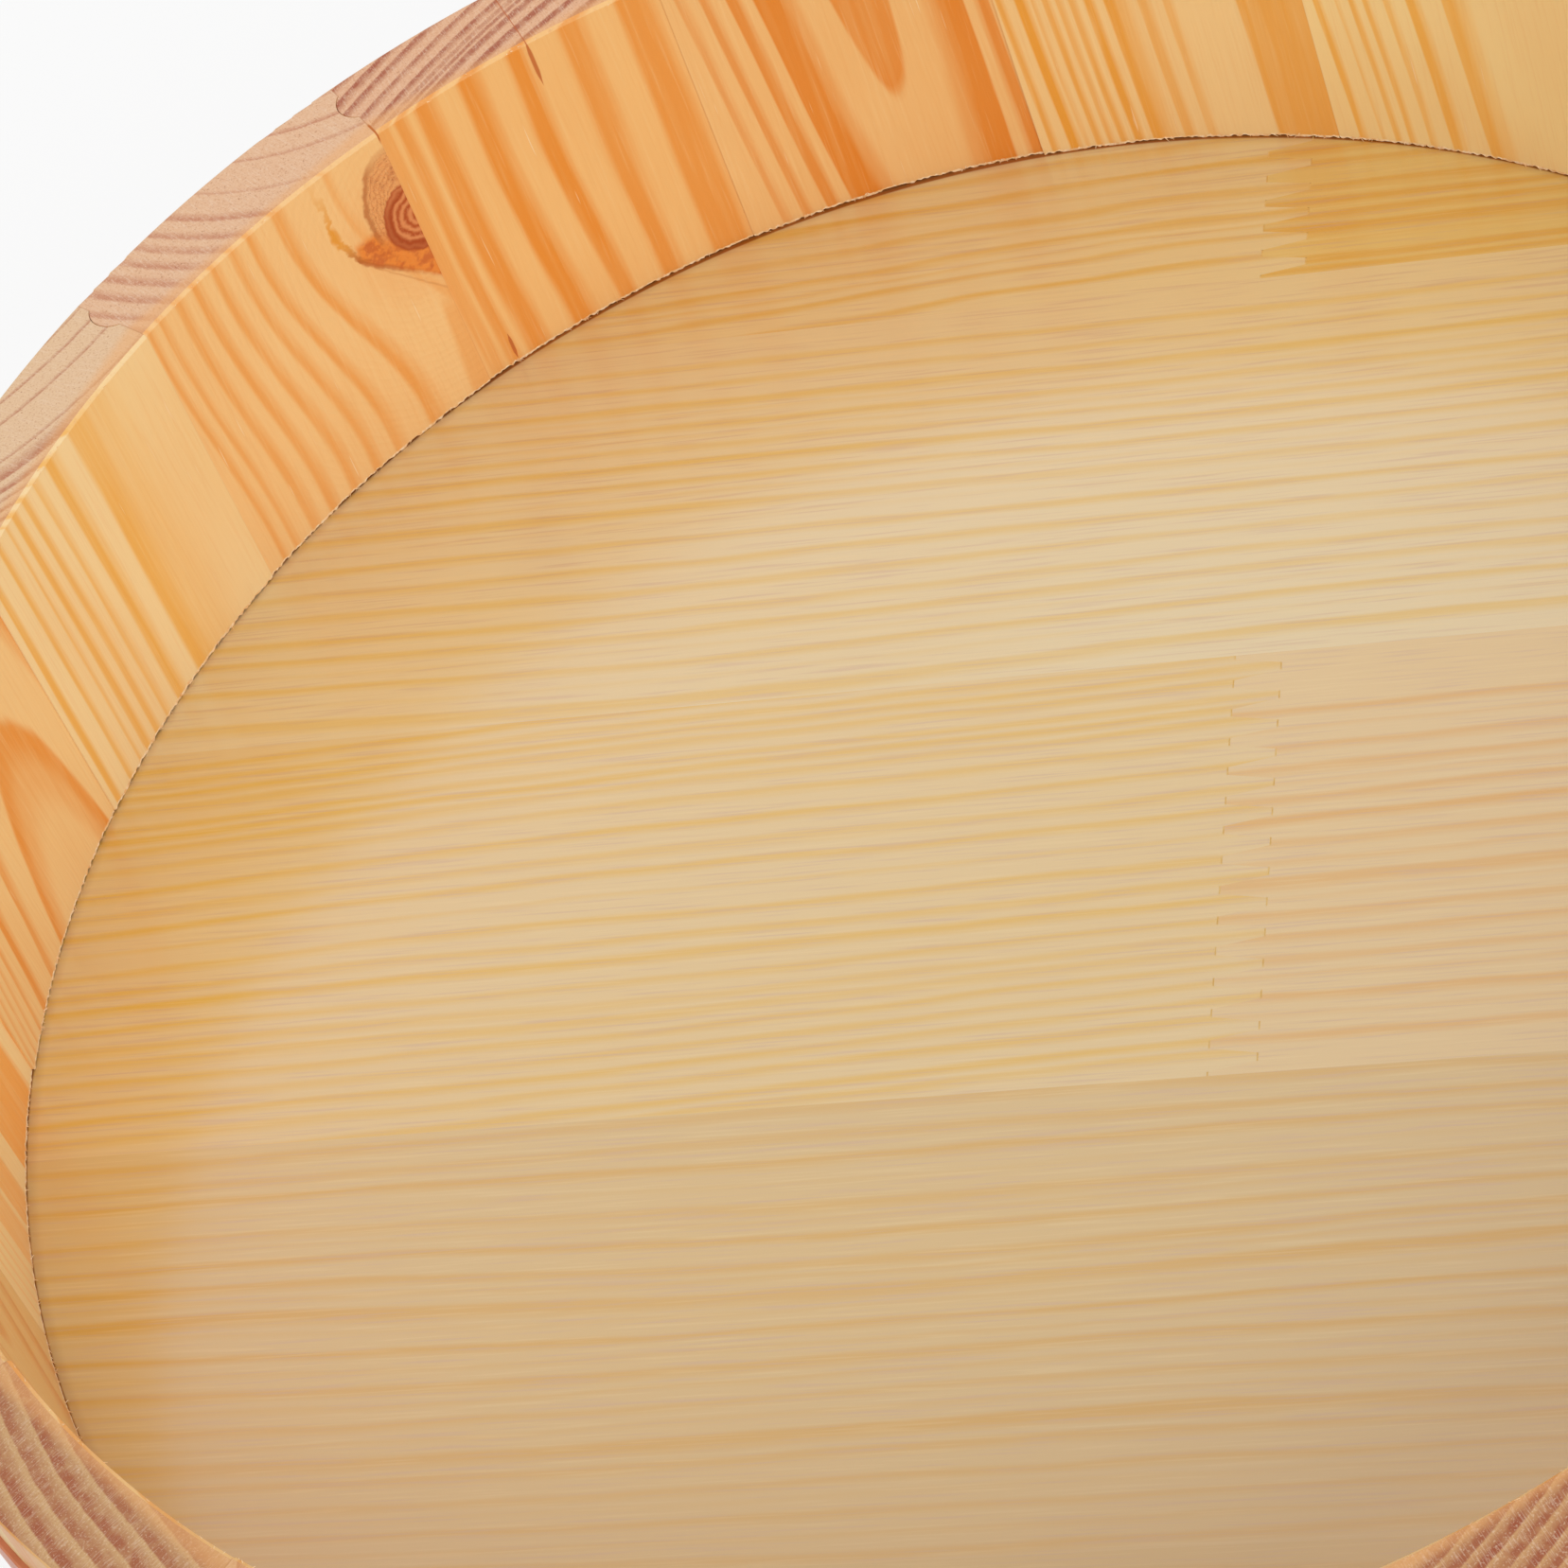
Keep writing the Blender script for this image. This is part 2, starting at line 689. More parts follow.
class HalfKnot:
    """The half of the knot that one stave holds at its joint, with bark, a wedge of resin and a stain.

    Args:
        tree: The stave's tree.
        place: Place in the stave's axes.
    """

    def __init__(self, tree: Tree, place: Socket) -> None:
        self.tree = tree
        self.deep, across, along = tree.parts(place)
        self.ragged = tree.noise(place, (0.5, 0.5, 0.5), detail=2.0, rough=0.6)
        self.grit = tree.noise(place, (2.6, 2.6, 2.0), detail=2.0, rough=0.75)
        self.wave = tree.scaled(self.ragged, 3.2, -1.6)
        self.side = tree.plus(across, 23.3)
        self.rise = tree.less(along, 38.2)
        self.blunt = tree.scaled(self.wave, 0.9, self.side)
        self.above = tree.step(self.rise, -3.0, 1.5)
        self.halo = self.ellipse(0.2, 3.2, 6.4, 11.4, 0.06)
        self.knot = self.ellipse(-1.2, 0.0, 6.2, 7.1, 0.05)
        self.pulse = tree.math("SINE", tree.scaled(self.wave, 0.5, tree.times(self.knot, 30.0)))
        self.inside = tree.step(self.knot, 1.03, 0.95)

    def ellipse(self, shift: float, up: float, wide: float, tall: float, rough: float) -> Socket:
        """Returns 0 in the middle of an ellipse and 1 at its ragged border.

        Args:
            shift: Its middle's place to the side of the knot.
            up: Its middle's height over the knot.
            wide: Half its width.
            tall: Half its height.
            rough: How ragged its border is.

        Returns:
            The share of the way to the border.
        """
        tree = self.tree
        one = tree.times(tree.less(self.side, shift), 1.0 / wide)
        two = tree.times(tree.less(self.rise, up), 1.0 / tall)
        return tree.scaled(self.wave, rough, tree.slant(one, two))

    def line(self, off: Socket, wide: float) -> Socket:
        """Returns 1 on a line and 0 from that width off it."""
        return self.tree.step(self.tree.size(off), wide, 0.25 * wide)

    def stain(self, colour: Socket) -> Socket:
        """Warms the wood round and under the knot.

        Args:
            colour: The colour so far.

        Returns:
            The colour with it in.
        """
        tree = self.tree
        colour = tree.tint(colour, (240, 168, 98), self.ellipse(2.0, -1.0, 11.0, 17.0, 0.12), 1.05, 0.6, 0.22)
        fan = tree.less(self.side, tree.scaled(self.rise, -0.07, -0.9))
        under = tree.times(tree.step(self.rise, -14.0, -22.0), tree.step(fan, 2.0, 0.6), 0.5)
        return tree.mix(under, colour, (238, 156, 62))

    def wedge(self, colour: Socket) -> Socket:
        """Paints the orange wedge of resin, its dark border and the crack.

        Args:
            colour: The colour so far.

        Returns:
            The colour with it in.
        """
        tree, side, rise = self.tree, self.side, self.rise
        slope = tree.scaled(side, -1.1, tree.scaled(self.wave, 0.5, rise))
        wedge = tree.times(
            tree.step(slope, -13.6, -12.6), tree.step(rise, 2.6, 0.6), tree.step(self.blunt, 10.8, 9.6), 0.92
        )
        sap = tree.mix(tree.step(self.ragged, 0.4, 0.6), (236, 138, 50), (206, 100, 34))
        sap = tree.tint(sap, (238, 170, 88), self.grit, 0.55, 0.75, 0.3)
        colour = tree.mix(wedge, colour, sap)
        border = tree.times(
            self.line(tree.plus(slope, 13.1), 0.9), tree.step(rise, 2.0, 0.0),
            tree.step(self.blunt, 10.8, 10.0), tree.step(side, 1.0, 8.0, 0.2, 0.75),
        )
        colour = tree.mix(border, colour, (188, 100, 42))
        crack = tree.scaled(side, -1.35, tree.scaled(self.wave, 0.25, rise))
        crack = tree.times(self.line(tree.plus(crack, 15.9), 0.45), tree.step(side, 10.0, 8.5, 0.0, 0.4))
        return tree.mix(crack, colour, (208, 140, 78))

    def rill(self, colour: Socket) -> Socket:
        """Paints the golden rill of resin along the joint and its drop.

        Args:
            colour: The colour so far.

        Returns:
            The colour with it in.
        """
        tree, rise = self.tree, self.rise
        bend = tree.math("MAXIMUM", tree.less(8.0, rise), 0.0)
        bend = tree.scaled(tree.times(bend, bend), -0.03, 12.5)
        span = tree.times(tree.step(rise, -3.0, -1.0), tree.step(rise, 17.5, 6.0, 0.15, 0.85))
        gold = tree.times(self.line(tree.less(self.blunt, bend), 0.75), span)
        shade = tree.mix(tree.step(rise, -1.0, 4.0), (190, 108, 44), (232, 160, 58))
        colour = tree.mix(gold, colour, shade)
        return tree.tint(colour, (234, 160, 56), self.ellipse(12.5, 5.8, 1.0, 2.2, 0.2), 1.1, 0.5, 0.75)

    def bark(self, colour: Socket) -> Socket:
        """Paints the rough ring of bark over the knot.

        Args:
            colour: The colour so far.

        Returns:
            The colour with it in.
        """
        tree, halo, grit = self.tree, self.halo, self.grit
        arcs = tree.math("SINE", tree.scaled(self.wave, 0.9, tree.times(halo, 62.0)))
        bark = tree.tint((242, 172, 108), (200, 114, 60), arcs, 0.0, 1.0, 0.45)
        bark = tree.tint(bark, (190, 104, 56), self.ragged, 0.5, 0.32, 0.4)
        bark = tree.tint(bark, (168, 88, 40), grit, 0.45, 0.3, 0.5)
        bark = tree.tint(bark, (246, 190, 132), grit, 0.56, 0.7, 0.5)
        colour = tree.mix(tree.times(tree.step(halo, 1.03, 0.84, 0.0, 0.9), self.above), colour, bark)
        edge = tree.times(
            tree.step(halo, 0.86, 0.97), tree.step(halo, 1.08, 0.99), self.above,
            tree.step(self.side, 1.5, 5.0, 0.25, 0.8),
        )
        return tree.mix(edge, colour, (188, 110, 56))

    def heart(self, colour: Socket) -> Socket:
        """Paints the knot's own rings.

        Args:
            colour: The colour so far.

        Returns:
            The colour with it in.
        """
        tree = self.tree
        heart = tree.mix(tree.scaled(self.pulse, 0.5, 0.5), (180, 80, 32), (226, 146, 92))
        heart = tree.tint(heart, (228, 152, 104), self.grit, 0.5, 0.7, 0.35)
        outer = tree.times(tree.step(self.knot, 0.66, 0.78), tree.step(self.rise, 6.5, 2.0, 0.5, 1.0), 0.72)
        return tree.mix(self.inside, colour, tree.mix(outer, heart, (168, 66, 22)))

    def paint(self, plain: Socket, flat: Socket) -> tuple[Socket, Socket]:
        """Paints all of it near the bore, and leaves the wood behind it as it is.

        Args:
            plain: The face's colour.
            flat: The face's relief.

        Returns:
            The colour and the relief with the knot in them.
        """
        tree, colour = self.tree, plain
        for layer in (self.stain, self.wedge, self.rill, self.bark, self.heart):
            colour = layer(colour)
        relief = tree.times(
            tree.step(self.halo, 1.0, 0.86), self.above, tree.less(1.0, self.inside),
            tree.scaled(self.grit, 0.3, -0.25),
        )
        relief = tree.scaled(self.pulse, 0.015, relief)
        inner = tree.step(self.deep, 8.0, 5.0)
        return tree.mix(inner, plain, colour), tree.scaled(relief, inner, flat)


@dataclass
class StaveWall:
    """The ring of staves. Each keeps its CAD node and gets pine of its own.

    Attributes:
        effects: The shared node groups.
        first_seed: Start of the random grain of the staves that the photograph doesn't show.
    """

    effects: WoodEffects
    first_seed: int = 410

    def unseen(self, number: int) -> StaveGrain:
        """Invents the grain of a stave that the photograph doesn't show.

        Args:
            number: The stave's number from 1.

        Returns:
            Its grain, the same on every run.
        """
        draw = random.Random(self.first_seed + number)
        side = draw.choice((Side.QUARTER, Side.RIFT, Side.RIFT, Side.PLAIN))
        if side is Side.QUARTER:
            pith = Pith(draw.choice((-1, 1)) * draw.uniform(60, 90), draw.uniform(-35, 20))
        elif side is Side.RIFT:
            across = draw.choice((-1, 1)) * draw.uniform(30, 48)
            pith = Pith(across, draw.choice((-1, 1)) * draw.uniform(38, 60))
        else:
            pith = Pith(draw.uniform(-10, 10), draw.uniform(-34, -16), 0.0, draw.uniform(0.02, 0.09))
        made, offset, pitch = [], -9.6, draw.uniform(2.2, 3.8)
        turn = 1 if pith.across < 0 else -1
        centre = math.degrees(math.asin(pith.across / BORE)) if side is Side.PLAIN else -9.6 * turn
        while abs(offset) < 11 and len(made) < 20:
            if not made:
                offset = centre + turn * draw.uniform(0.2, 1.2)
            reach = math.hypot(BORE * math.sin(math.radians(offset)) - pith.across, pith.deep)
            made.append(Ring(offset, draw.uniform(0.35, 0.9), pitch * draw.uniform(0.35, 0.6), 0.3))
            wanted = reach + pitch * draw.uniform(0.65, 1.4)
            run = math.sqrt(max(wanted**2 - pith.deep**2, 0.0))
            place = (pith.across + turn * run) / BORE
            if abs(place) > 0.2:
                break
            offset = math.degrees(math.asin(place))
        shade, dim = draw.uniform(-6, 5), draw.uniform(0, 24)
        tone = WoodTone(
            tuple(int(value + shade) for value in (248, 205, 137)),
            tuple(int(value + shade) for value in (236, 160, 76)),
            tuple(int(value - dim) for value in (231, 190, 148)),
            tuple(int(value - 1.3 * dim) for value in (190, 120, 88)),
        )
        return StaveGrain(pith, tuple(made), tone, draw.uniform(0.35, 0.6))

    def reach(self, grain: StaveGrain, ring: Ring) -> float:
        """Works out how far a ring is from the pith, before it wanders.

        Args:
            grain: The stave's grain.
            ring: The ring, whose offset is taken at mid height, or at the rim if it is deep.

        Returns:
            Its distance.
        """
        height = RIM - FLOOR_TOP if ring.deep else MID_HEIGHT
        angle, pith = math.radians(ring.offset), grain.pith
        deep = (BORE + ring.deep) * math.cos(angle) - BORE
        across = (BORE + ring.deep) * math.sin(angle)
        side = across - pith.across - pith.lean_across * height
        down = deep - pith.deep - pith.lean_deep * height
        if not grain.knot:
            return math.hypot(side, down)
        near = 0.5 + 0.5 * smooth(across, *KNOT_NEAR)
        return math.hypot(side, down) - KNOT_PUSH * smooth(height, *KNOT_RISE) * near

    def material(self, number: int, grain: StaveGrain) -> Material:
        """Builds one stave's pine.

        Args:
            number: The stave's number from 1.
            grain: Its grain.

        Returns:
            The material.
        """
        finish, tree, shader = new_finish(f"pine_stave_{number:02d}")
        turned = tree.millimetres(stave_middle(number))
        place = tree.fill(tree.add("VectorMath", operation="SUBTRACT"), turned, (BORE, 0.0, FLOOR_TOP))
        deep, across, along = tree.parts(place)
        pith, tone = grain.pith, grain.tone
        wood = {"Place": place, "Seed": (number * 3.7, number * 1.9, number * 5.3)}
        distance = tree.group(
            self.effects.rings, Pith_Across=pith.across, Pith_Deep=pith.deep,
            Lean_Across=pith.lean_across, Lean_Deep=pith.lean_deep, Wobble=grain.wobble, **wood,
        ).outputs[0]
        if grain.knot:
            near = tree.times(tree.step(along, *KNOT_RISE), tree.step(across, *KNOT_NEAR, 0.5, 1.0))
            distance = tree.scaled(near, -KNOT_PUSH, distance)
        marks = [
            Mark(self.reach(grain, ring), ring.strength, ring.soft, ring.hard, ring.flat)
            for ring in grain.rings
        ]
        wood["Rings"] = ring_mask(tree, distance, sorted(marks))
        face = tree.group(self.effects.face, Pale=tone.pale, Late=tone.late, **wood)
        end = tree.group(self.effects.end, Pale=tone.end_pale, Late=tone.end_late, **wood)
        upright = tree.size(tree.parts(tree.add("NewGeometry").outputs["True Normal"])[2])
        colour, height = face.outputs["Color"], face.outputs["Height"]
        if grain.knot:
            colour, height = HalfKnot(tree, place).paint(colour, height)
        across_grain = tree.step(upright, 0.8, 0.95)
        soaked = tree.tint(end.outputs["Color"], (244, 178, 112), deep, 2.6, 0.4, 0.5)
        colour = tree.mix(across_grain, colour, soaked)
        arris = tree.times(tree.step(upright, 0.35, 0.5), tree.step(upright, 0.95, 0.85))
        arris = tree.times(arris, tree.step(deep, 3.0, 1.0, 0.0, 0.1))
        colour = tree.mix(arris, colour, (252, 206, 156))
        for streak in grain.streaks:
            colour = self.resin_streak(tree, across, along, colour, streak)
        seam = tree.group(self.effects.seam, Turned=turned).outputs[0]
        line = tree.times(tree.step(seam, 0.15, 0.03), tree.scaled(across_grain, 0.22, 0.13))
        colour = tree.mix(line, colour, (176, 104, 48))
        if grain.slit:
            gate = tree.times(
                tree.step(deep, 1.2, 0.5), tree.step(along, 53.5, 55.0),
                tree.step(tree.times(across, grain.slit), 15.0, 18.0),
            )
            colour = tree.mix(tree.times(tree.step(seam, 0.24, 0.1), gate), colour, (196, 108, 40))
        blend = tree.add("Mix", data_type="FLOAT")
        relief = tree.fill(blend, across_grain, None, height, end.outputs["Height"])
        rough = tree.scaled(across_grain, 0.25, face.outputs["Roughness"])
        tree.wire(shader, Base_Color=colour, Roughness=rough, Normal=tree.bump(relief))
        return finish

    def resin_streak(self, tree: Tree, across: Socket, along: Socket, colour: Socket,
                     streak: Streak) -> Socket:
        """Paints one streak of resin.

        Args:
            tree: The stave's tree.
            across: Place across the stave.
            along: Place along it.
            colour: The colour before.
            streak: The streak.

        Returns:
            The colour with the streak in it.
        """
        middle, half = (streak.low + streak.high) / 2, (streak.high - streak.low) / 2
        end = tree.size(tree.less(along, middle))
        width = tree.step(end, half, 0.3 * half, 0.02, streak.wide)
        share = tree.math("DIVIDE", tree.size(tree.less(across, streak.across)), width)
        mask = tree.times(tree.step(share, 1.1, 0.5, 0.0, 0.85), tree.step(end, half, 0.85 * half))
        return tree.mix(mask, colour, (192, 96, 38))

    def build(self, nodes: dict[str, Piece]) -> None:
        """Dresses all the staves.

        Args:
            nodes: The CAD nodes by name.
        """
        for number in range(1, STAVES + 1):
            grain = VISIBLE.get(number) or self.unseen(number)
            paint(nodes[f"stave_{number:02d}"], self.material(number, grain))
        LOG.info("staves: %d finishes of pine", STAVES)


def bare_tree(owner: Material | bpy.types.World) -> Tree:
    """Empties a material's or world's node tree.

    Args:
        owner: The material or world.

    Returns:
        Its tree.
    """
    owner.use_nodes = True
    owner.node_tree.nodes.clear()
    return Tree(owner.node_tree)


def new_finish(name: str) -> tuple[Material, Tree, Node]:
    """Makes a material with its shader linked to the output.

    Args:
        name: The material's name.

    Returns:
        The material, its tree and its Principled shader.
    """
    finish = bpy.data.materials.new(name)
    tree = bare_tree(finish)
    shader = tree.add("BsdfPrincipled")
    tree.wire(tree.add("OutputMaterial"), Surface=shader.outputs[0])
    return finish, tree, shader


def ring_mask(tree: Tree, distance: Socket, marks: list[Mark]) -> Socket:
    """Paints late wood over a distance, with as many colour ramps as the marks need.

    Args:
        tree: The material's tree.
        distance: The distance that the marks are places on.
        marks: The marks, in order of place.

    Returns:
        The mask.
    """
    low = min(mark.at - mark.flat - mark.soft for mark in marks) - 1.0
    span = max(mark.at + mark.hard for mark in marks) + 1.0 - low
    along = tree.math("DIVIDE", tree.less(distance, low), span)
    ramps, last = [[(0.0, 0.0)]], low
    for mark in marks:
        stops = [((place - low) / span, level) for place, level in mark.stops(last)]
        if len(ramps[-1]) + len(stops) > RAMP_STOPS:
            ramps.append([(0.0, 0.0)])
        ramps[-1] += stops
        last = mark.at + mark.hard
    mask, *others = [tree.ramp(along, stops) for stops in ramps]
    for other in others:
        mask = tree.math("MAXIMUM", mask, other)
    return mask


def paint(piece: Piece, finish: Material) -> None:
    """Gives every material slot of a piece the same finish.

    Args:
        piece: The piece.
        finish: The finish.
    """
    if not piece.data.materials:
        piece.data.materials.append(finish)
    for index in range(len(piece.data.materials)):
        piece.data.materials[index] = finish


@dataclass(frozen=True)
class BoardGrain:
    """Grain of one length of floor board.

    Attributes:
        lines: Places of its golden lines across the floor, in shares of the bore radius.
        strong: Places of its strongest lines.
        slope: How far the lines rise for each millimetre to the right.
        pale: Colour between the lines.
        line: Colour of the lines.
        wander: How much the lines wander.
    """

    lines: tuple[float, ...]
    strong: tuple[float, ...] = ()
    slope: float = 0.0
    pale: Colour = (217, 184, 122)
    line: Colour = (215, 165, 62)
    wander: float = 1.0

    def marks(self, seed: int) -> list[Mark]:
        """Turns the lines into marks of drawn strength and width, with faint ones in the wide gaps.

        Args:
            seed: Seed of the draw.

        Returns:
            The marks, in order of place.
        """
        draw = random.Random(seed)
        made = [
            Mark(at * BORE, draw.uniform(0.7, 1.0), draw.uniform(1.0, 1.5), 0.8, draw.uniform(0.2, 0.5))
            for at in self.lines
        ]
        made += [Mark(at * BORE, 1.0, 1.6, 0.8, 0.9) for at in self.strong]
        made += [
            Mark((low + high) / 2 * BORE + draw.uniform(-0.2, 0.2), draw.uniform(0.2, 0.5), 0.9, 0.6, 0.1)
            for low, high in pairwise(sorted(self.lines + self.strong)) if high - low > WIDE_GAP
        ]
        return sorted(made)


def even_lines(low: float, high: float, pitch: float, seed: int) -> tuple[float, ...]:
    """Spreads places over a board at a drawn pitch.

    Args:
        low: First place, as a share of the bore radius.
        high: Last place.
        pitch: Mean distance between two lines.
        seed: Seed of the draw.

    Returns:
        The places.
    """
    draw = random.Random(seed)
    places, place = [], low
    while place < high:
        places.append(place)
        place += pitch * draw.uniform(0.75, 1.25)
    return tuple(places)


FLOOR_GRAIN = {
    "floor_strip_1": BoardGrain(
        even_lines(-0.99, -0.67, 0.034, 11), (-0.74, -0.88), -0.004, (212, 177, 110), (208, 157, 56)
    ),
    "floor_strip_2": BoardGrain(
        (-0.19, -0.218, -0.24, -0.285, -0.317, -0.344, -0.416, -0.452, -0.49, -0.55, -0.578, -0.61, -0.65),
        (-0.375, -0.526),
    ),
    "floor_strip_3_left": BoardGrain(
        (
            0.165, 0.138, 0.115, 0.06, 0.036, 0.016, -0.01, -0.03, -0.045, -0.065, -0.085, -0.105, -0.125,
            -0.15, -0.165, *even_lines(0.195, 0.33, 0.018, 22),
        ),
        (),
        0.035,
        (226, 196, 138),
        (226, 180, 70),
    ),
    "floor_strip_3_right": BoardGrain(
        (0.235, 0.19, 0.165, 0.133, 0.109, 0.084, 0.003, -0.022, -0.047, -0.09, -0.135),
        (0.043,),
        pale=(226, 195, 140),
        line=(222, 165, 72),
    ),
    "floor_strip_4": BoardGrain(
        (0.753, 0.726, 0.698, 0.666, 0.635, 0.615, 0.589, 0.555, 0.517, 0.49, 0.463, 0.434, 0.41, 0.372),
        (0.328,),
        pale=(228, 205, 156),
        line=(226, 188, 102),
    ),
    "floor_strip_5_left": BoardGrain(
        (0.97, 0.94, 0.9, 0.865, 0.83, 0.8), slope=0.03, pale=(228, 203, 148), line=(223, 178, 84), wander=2.0
    ),
    "floor_strip_5_right": BoardGrain(
        (0.96, 0.94, 0.91, 0.893, 0.876, 0.805), (0.86, 0.82), -0.01, (226, 195, 118), (221, 168, 66)
    ),
}


@dataclass
class FloorBoards:
    """The floor, of five rows of strips, two of them in two lengths with a finger joint.

    Attributes:
        coat_rough: Roughness of its lacquer.
        coat_index: How strongly its lacquer bends light.
    """

    coat_rough: float = 0.2
    coat_index: float = 1.95

    def material(self, name: str, grain: BoardGrain, seed: int) -> Material:
        """Builds one length's pine under its thin lacquer.

        Args:
            name: The node's name.
            grain: Its grain.
            seed: Shift of its noise.

        Returns:
            The material.
        """
        finish, tree, shader = new_finish("pine_" + name)
        place, shift = tree.millimetres(), (seed * 7.1, seed * 3.3, seed * 1.7)
        right, back, up = tree.parts(place)
        wide = tree.noise(place, (0.008, 0.03, 0.03), shift)
        fine = tree.noise(place, (0.05, 0.35, 0.35), shift)
        wander = tree.plus(tree.scaled(wide, 5.0, -2.5), tree.scaled(fine, 0.9, -0.45))
        level = tree.scaled(wander, grain.wander, back)
        level = tree.scaled(right, -grain.slope, level)
        level = tree.scaled(tree.less(up, FLOOR_TOP), 0.35, level)
        broken = tree.noise(place, (0.012, 0.3, 0.3), shift)
        lines = ring_mask(tree, level, grain.marks(seed))
        lines = tree.times(lines, tree.step(broken, 0.25, 0.65, 0.75, 1.0))
        fibres = tree.noise(place, (0.06, 2.0, 2.0), shift, 1.0, 0.65)
        colour = tree.mix(lines, grain.pale, grain.line)
        colour = tree.tint(colour, (224, 182, 98), wide, 0.35, 0.7, 0.18)
        colour = tree.tint(colour, (206, 168, 136), fibres, 0.52, 0.75, 0.46)
        colour = tree.tint(colour, (240, 212, 152), fibres, 0.46, 0.25, 0.2)
        colour = tree.tint(colour, (204, 162, 88), back, -60.0, -130.0, 0.55)
        reach = tree.math("SQRT", tree.scaled(right, right, tree.times(back, back)))
        colour = tree.tint(colour, (158, 104, 52), reach, BORE - 2.0, BORE - 0.1, 0.3)
        apart = tree.math("POWER", tree.times(back, 1.0 / BORE), 4.0)
        gap = tree.step(tree.scaled(apart, 0.8, reach), BORE - 0.15, BORE + 0.25)
        colour = tree.mix(tree.times(gap, 0.92), colour, (156, 86, 30))
        coated = tree.less(1.0, gap)
        tree.wire(
            shader, Base_Color=colour, Roughness=tree.scaled(fibres, 0.1, 0.45), Coat_Weight=coated,
            Specular_IOR_Level=tree.times(coated, 0.5), Coat_Roughness=self.coat_rough,
            Coat_IOR=self.coat_index, Normal=tree.bump(tree.times(fibres, 0.014)),
        )
        return finish

    def build(self, nodes: dict[str, Piece]) -> None:
        """Dresses all the lengths.

        Args:
            nodes: The CAD nodes by name.
        """
        for seed, (name, grain) in enumerate(FLOOR_GRAIN.items()):
            paint(nodes[name], self.material(name, grain, seed))
        LOG.info("floor: %d finishes of pine under lacquer", len(FLOOR_GRAIN))


def placed(name: str, data: bpy.types.ID) -> Piece:
    """Puts an object of that data in the scene.

    Args:
        name: The object's name.
        data: Its mesh, camera or lamp.

    Returns:
        The object.
    """
    thing = bpy.data.objects.new(name, data)
    bpy.context.scene.collection.objects.link(thing)
    return thing


def meshed(name: str, shape: Shape) -> Piece:
    """Turns a bmesh into an object in the scene.

    Args:
        name: The object's name.
        shape: The bmesh, in metres in the row frame. It is freed.

    Returns:
        The object.
    """
    mesh = bpy.data.meshes.new(name)
    shape.to_mesh(mesh)
    shape.free()
    return placed(name, mesh)


def new_piece(name: str, shape: Shape, finish: Material) -> None:
    """Turns a finished bmesh into a piece that rides on the tub.

    Args:
        name: The piece's name.
        shape: The bmesh, in metres in the row frame. It is freed.
        finish: The piece's material.
    """
    piece = meshed(name, shape)
    paint(piece, finish)
    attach(piece, "root")


@dataclass(frozen=True)
class DullFinish:
    """A dull finish of two colours in small clouds, such as torn fibres or dried glue.

    Attributes:
        name: The material's name.
        pale: Its first colour.
        deep: Its second colour.
        scale: How many waves of cloud it has in a metre.
        low: Where the cloud begins to turn.
        high: Where it has turned.
    """

    name: str
    pale: Colour
    deep: Colour
    scale: float
    low: float
    high: float

    def build(self) -> tuple[Material, Tree, Node, Socket]:
        """Builds the finish.

        Returns:
            The material, its tree, its shader and its cloud.
        """
        finish, tree, shader = new_finish(self.name)
        cloud = tree.noise(tree.place(), (self.scale,) * 3, detail=1.0)
        tree.wire(shader, Base_Color=tree.mix(tree.step(cloud, self.low, self.high), self.pale, self.deep))
        return finish, tree, shader, cloud


